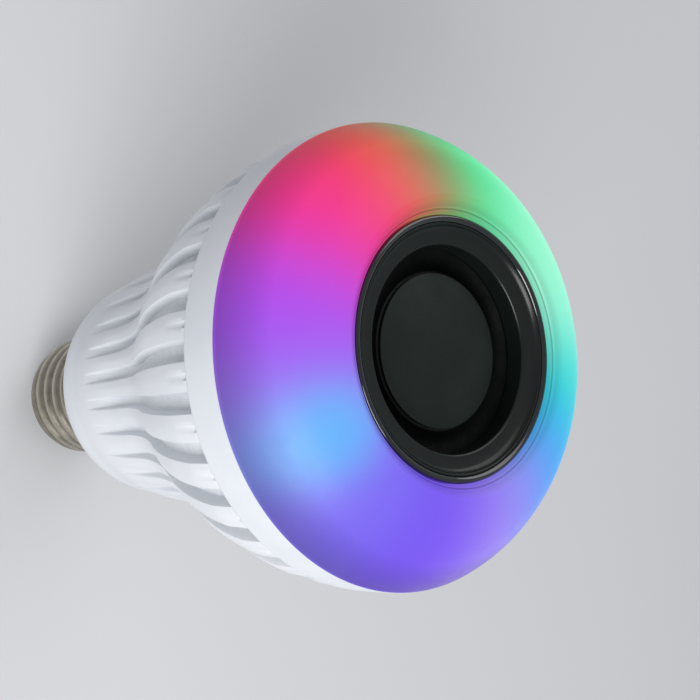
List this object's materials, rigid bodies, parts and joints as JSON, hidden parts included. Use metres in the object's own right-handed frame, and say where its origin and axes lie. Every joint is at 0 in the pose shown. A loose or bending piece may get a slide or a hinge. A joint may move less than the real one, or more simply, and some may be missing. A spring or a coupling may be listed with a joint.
{
  "type": "smart light bulb",
  "caption": "Colour-changing LED bulb with a loudspeaker in the middle of its opal face, a fluted white housing and an Edison screw base.",
  "frame": {"origin": "middle of the centre contact's outer face, at the bulb's foot", "axes": "+Z along the bulb's axis from the screw base to the speaker face; the LED board's cable hole is on -Y"},
  "size_m": [0.08, 0.08, 0.132],
  "materials": {
    "shell_metal": "rolled nickel-plated shell",
    "contact_brass": "pressed brass",
    "insulator_black": "moulded black insulator",
    "housing_white": "white moulded plastic, fine satin",
    "diffuser_opal": "frosted opal plastic, lit from inside",
    "bezel_gloss": "piano black",
    "bezel_satin": "satin black",
    "cap_grey": "satin dark grey",
    "cone_black": "pulp cone",
    "rubber_black": "soft matt rubber",
    "foam_black": "closed-cell foam",
    "spider_cloth": "varnished cloth",
    "basket_steel": "black pressed steel",
    "plated_steel": "zinc plate",
    "ferrite": "sintered ferrite",
    "former_film": "amber film",
    "copper": "enamelled copper",
    "enclosure_black": "black moulding",
    "spreader_aluminium": "stamped sheet",
    "board_white": "white solder mask on aluminium",
    "board_green": "green solder mask",
    "phenolic_brown": "phenolic sheet",
    "lamp_white": "lamp package",
    "socket_cream": "nylon",
    "chip_black": "epoxy",
    "capacitor_sleeve": "shrink sleeve",
    "transformer_tape": "yellow tape on ferrite",
    "inductor_wrap": "shrink tube on ferrite",
    "resistor_coat": "flameproof lacquer",
    "lead_red": "insulation",
    "lead_black": "insulation",
    "lead_white": "insulation"
  },
  "bodies": {
    "root": {"screw_shell": "shell_metal", "centre_contact": "contact_brass", "base_insulator": "insulator_black", "fluted_housing": "housing_white", "diffuser": "diffuser_opal", "bezel_trim": "bezel_gloss", "speaker_front_ring": "bezel_satin", "surround": "rubber_black", "speaker_gasket": "foam_black", "spider": "spider_cloth", "speaker_basket": "basket_steel", "top_plate": "plated_steel", "yoke": "plated_steel", "led_board_screws": "plated_steel", "enclosure_screws": "plated_steel", "audio_board_screws": "plated_steel", "module_shield": "plated_steel", "ring_magnet": "ferrite", "tinsel_leads": "copper", "speaker_enclosure": "enclosure_black", "heat_spreader": "spreader_aluminium", "led_board": "board_white", "driver_board": "board_green", "audio_board": "board_green", "wireless_module": "board_green", "terminal_strip": "phenolic_brown", "rgb_leds": "lamp_white", "white_leds": "lamp_white", "led_socket": "socket_cream", "speaker_socket": "socket_cream", "light_socket": "socket_cream", "amplifier_chip": "chip_black", "control_chip": "chip_black", "switching_transistor": "chip_black", "bridge_rectifier": "chip_black", "bulk_capacitor": "capacitor_sleeve", "output_capacitor": "capacitor_sleeve", "audio_capacitors": "capacitor_sleeve", "transformer": "transformer_tape", "filter_inductor": "inductor_wrap", "fuse_resistor": "resistor_coat", "centre_lead": "lead_red", "supply_leads": "lead_red", "shell_lead": "lead_black", "speaker_leads": "lead_black", "light_leads": "lead_white"},
    "diaphragm": {"dust_cap": "cap_grey", "cone": "cone_black", "coil_former": "former_film", "coil_winding": "copper"}
  },
  "joints": [
    {"name": "cone_excursion", "type": "slide", "parent": "root", "child": "diaphragm", "axis": [0, 0, 1], "range_m": [-0.0015, 0.0015], "stiffness_N_per_m": 800, "deforming": ["surround", "spider", "tinsel_leads"]}
  ]
}
